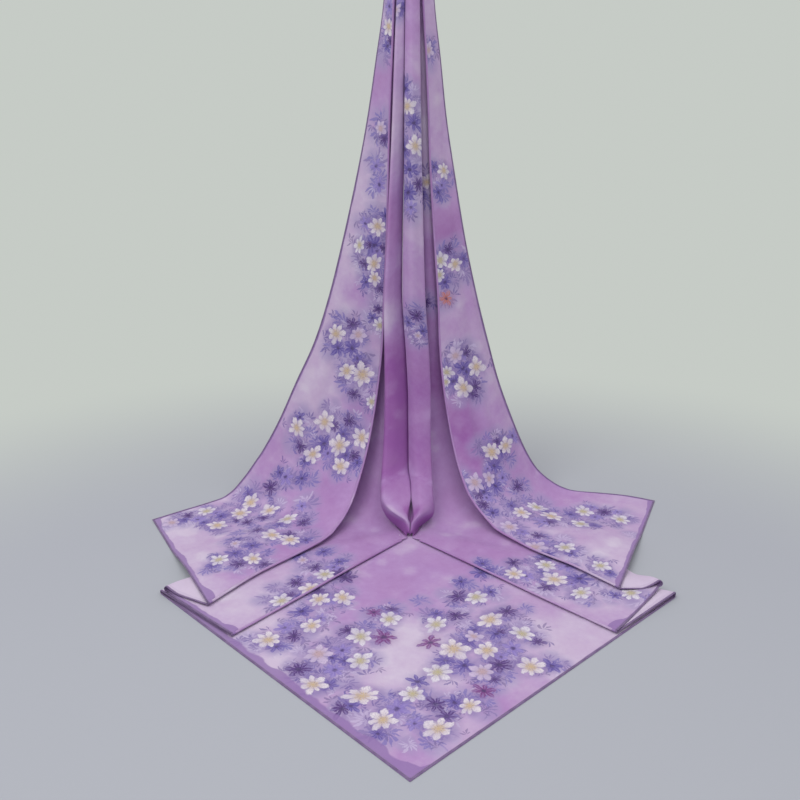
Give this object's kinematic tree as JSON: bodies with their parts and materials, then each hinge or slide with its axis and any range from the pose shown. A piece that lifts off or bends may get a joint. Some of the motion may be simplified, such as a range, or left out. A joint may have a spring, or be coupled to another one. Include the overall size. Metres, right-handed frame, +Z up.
{
  "type": "cotton headscarf",
  "caption": "Square printed cotton headscarf hung by one corner, with pleats from the hold, folded wings at the sides and its front corner spread flat on the floor.",
  "frame": {"origin": "the hold at the top, at the height of the gathered corner's edge, where something outside the part holds the scarf", "axes": "+X to the right seen from the front, +Y away from the viewer towards the wall behind, +Z up"},
  "size_m": [0.994, 0.8144, 1.1875],
  "materials": {
    "printed_cotton": "fine plain-weave cotton with a soft sheen, violet watercolour ground and a flower print",
    "cotton_reverse": "the paler reverse of the same printed cotton",
    "hem": "narrow rolled and stitched hem in dark mauve"
  },
  "bodies": {
    "root": {"front_panel": "printed_cotton", "front_hem": "hem", "left_turn_under": "cotton_reverse", "left_turn_under_hem": "hem", "left_middle_layer": "printed_cotton", "left_middle_hem": "hem", "left_wing_return": "cotton_reverse", "left_return_hem": "hem", "left_wing": "printed_cotton", "left_wing_hem": "hem", "left_centre_pleat": "printed_cotton", "right_turn_under": "cotton_reverse", "right_turn_under_hem": "hem", "right_middle_layer": "printed_cotton", "right_middle_hem": "hem", "right_wing_return": "cotton_reverse", "right_return_hem": "hem", "right_wing": "printed_cotton", "right_wing_hem": "hem", "right_centre_pleat": "printed_cotton"}
  },
  "joints": []
}
